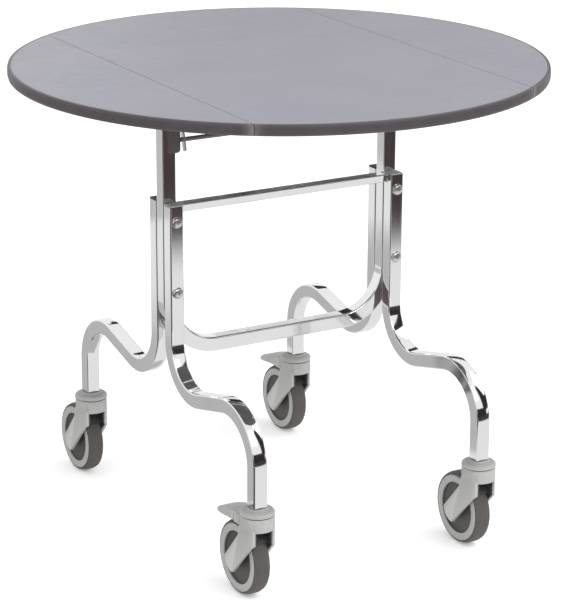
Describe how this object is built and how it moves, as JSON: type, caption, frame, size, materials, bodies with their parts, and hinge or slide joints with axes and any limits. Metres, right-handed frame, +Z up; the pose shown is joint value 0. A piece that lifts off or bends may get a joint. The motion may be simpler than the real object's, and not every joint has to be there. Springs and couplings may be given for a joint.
{
  "type": "food service trolley",
  "caption": "Round drop-leaf table top on a chromed square-tube frame with bent legs and swivel castors, for serving meals in a room.",
  "frame": {"origin": "on the floor, under the centre of the round top", "axes": "+Z up; X runs along the crossbars from the left post to the right post; Y runs along the fold lines of the top, +Y away from the viewer, and the castors trail towards +Y at rest"},
  "size_m": [0.9, 0.9, 0.8095],
  "materials": {
    "laminate": "lavender-grey satin laminate on a dense board",
    "edge_moulding": "dark brown-purple rounded plastic edging, satin",
    "chrome_tube": "bright chrome plate on square steel tube",
    "zinc_steel": "zinc-plated steel hardware",
    "black_steel": "black coated steel, satin",
    "grey_plastic": "light grey moulded nylon, fine grain",
    "dark_plastic": "dark plastic plug",
    "tyre": "dark grey-brown rubber tread"
  },
  "bodies": {
    "frame": {"castor_head_front_left": "grey_plastic", "castor_head_front_right": "grey_plastic", "castor_head_rear_left": "grey_plastic", "castor_head_rear_right": "grey_plastic", "centre_board": "laminate", "centre_edge_front": "edge_moulding", "centre_edge_rear": "edge_moulding", "clamp_bolt_left_lower": "zinc_steel", "clamp_bolt_left_upper": "zinc_steel", "clamp_bolt_right_lower": "zinc_steel", "clamp_bolt_right_upper": "zinc_steel", "clamp_nut_left_lower": "zinc_steel", "clamp_nut_left_upper": "zinc_steel", "clamp_nut_right_lower": "zinc_steel", "clamp_nut_right_upper": "zinc_steel", "front_leg_left": "chrome_tube", "front_leg_right": "chrome_tube", "front_tube_plug_left": "grey_plastic", "front_tube_plug_right": "grey_plastic", "left_hinge_front_plate": "zinc_steel", "left_hinge_rear_plate": "zinc_steel", "post_bracket_left": "black_steel", "post_bracket_right": "black_steel", "rear_leg_left": "chrome_tube", "rear_leg_right": "chrome_tube", "rear_tube_plug_left": "dark_plastic", "rear_tube_plug_right": "dark_plastic", "right_hinge_front_plate": "zinc_steel", "right_hinge_rear_plate": "zinc_steel", "tie_rod": "black_steel", "top_plate_left": "zinc_steel", "top_plate_right": "zinc_steel", "u_frame": "chrome_tube", "upper_crossbar": "chrome_tube"},
    "left_leaf": {"left_hinge_front_flap": "zinc_steel", "left_hinge_rear_flap": "zinc_steel", "left_leaf_board": "laminate", "left_leaf_edge": "edge_moulding"},
    "right_leaf": {"right_hinge_front_flap": "zinc_steel", "right_hinge_rear_flap": "zinc_steel", "right_leaf_board": "laminate", "right_leaf_edge": "edge_moulding"},
    "castor_front_left": {"castor_axle_front_left": "zinc_steel", "castor_fork_front_left": "grey_plastic"},
    "wheel_front_left": {"castor_wheel_front_left": "grey_plastic", "castor_tyre_front_left": "tyre"},
    "brake_front_left": {"brake_pedal_front_left": "grey_plastic"},
    "castor_front_right": {"castor_axle_front_right": "zinc_steel", "castor_fork_front_right": "grey_plastic"},
    "wheel_front_right": {"castor_wheel_front_right": "grey_plastic", "castor_tyre_front_right": "tyre"},
    "castor_rear_left": {"castor_axle_rear_left": "zinc_steel", "castor_fork_rear_left": "grey_plastic"},
    "wheel_rear_left": {"castor_wheel_rear_left": "grey_plastic", "castor_tyre_rear_left": "tyre"},
    "castor_rear_right": {"castor_axle_rear_right": "zinc_steel", "castor_fork_rear_right": "grey_plastic"},
    "wheel_rear_right": {"castor_wheel_rear_right": "grey_plastic", "castor_tyre_rear_right": "tyre"},
    "brake_rear_right": {"brake_pedal_rear_right": "grey_plastic"}
  },
  "joints": [
    {"name": "left_leaf_fold", "type": "hinge", "parent": "frame", "child": "left_leaf", "pos_m": [-0.2535, 0, 0.7863], "axis": [0, -1, 0], "range_deg": [0, 90]},
    {"name": "right_leaf_fold", "type": "hinge", "parent": "frame", "child": "right_leaf", "pos_m": [0.2535, 0, 0.7863], "axis": [0, 1, 0], "range_deg": [0, 90]},
    {"name": "front_left_swivel", "type": "hinge", "parent": "frame", "child": "castor_front_left", "pos_m": [-0.2131, -0.3089, 0.14], "axis": [0, 0, 1], "continuous": true},
    {"name": "front_left_roll", "type": "hinge", "parent": "castor_front_left", "child": "wheel_front_left", "pos_m": [-0.2131, -0.2673, 0.0625], "axis": [1, 0, 0], "continuous": true},
    {"name": "front_left_brake", "type": "hinge", "parent": "castor_front_left", "child": "brake_front_left", "pos_m": [-0.2131, -0.2749, 0.139], "axis": [-1, 0, 0], "range_deg": [0, 7]},
    {"name": "front_right_swivel", "type": "hinge", "parent": "frame", "child": "castor_front_right", "pos_m": [0.2131, -0.3089, 0.14], "axis": [0, 0, 1], "continuous": true},
    {"name": "front_right_roll", "type": "hinge", "parent": "castor_front_right", "child": "wheel_front_right", "pos_m": [0.2131, -0.2673, 0.0625], "axis": [1, 0, 0], "continuous": true},
    {"name": "rear_left_swivel", "type": "hinge", "parent": "frame", "child": "castor_rear_left", "pos_m": [-0.2131, 0.3089, 0.14], "axis": [0, 0, 1], "continuous": true},
    {"name": "rear_left_roll", "type": "hinge", "parent": "castor_rear_left", "child": "wheel_rear_left", "pos_m": [-0.2131, 0.3505, 0.0625], "axis": [1, 0, 0], "continuous": true},
    {"name": "rear_right_swivel", "type": "hinge", "parent": "frame", "child": "castor_rear_right", "pos_m": [0.2131, 0.3089, 0.14], "axis": [0, 0, 1], "continuous": true},
    {"name": "rear_right_roll", "type": "hinge", "parent": "castor_rear_right", "child": "wheel_rear_right", "pos_m": [0.2131, 0.3505, 0.0625], "axis": [1, 0, 0], "continuous": true},
    {"name": "rear_right_brake", "type": "hinge", "parent": "castor_rear_right", "child": "brake_rear_right", "pos_m": [0.2131, 0.3429, 0.139], "axis": [-1, 0, 0], "range_deg": [0, 7]}
  ]
}
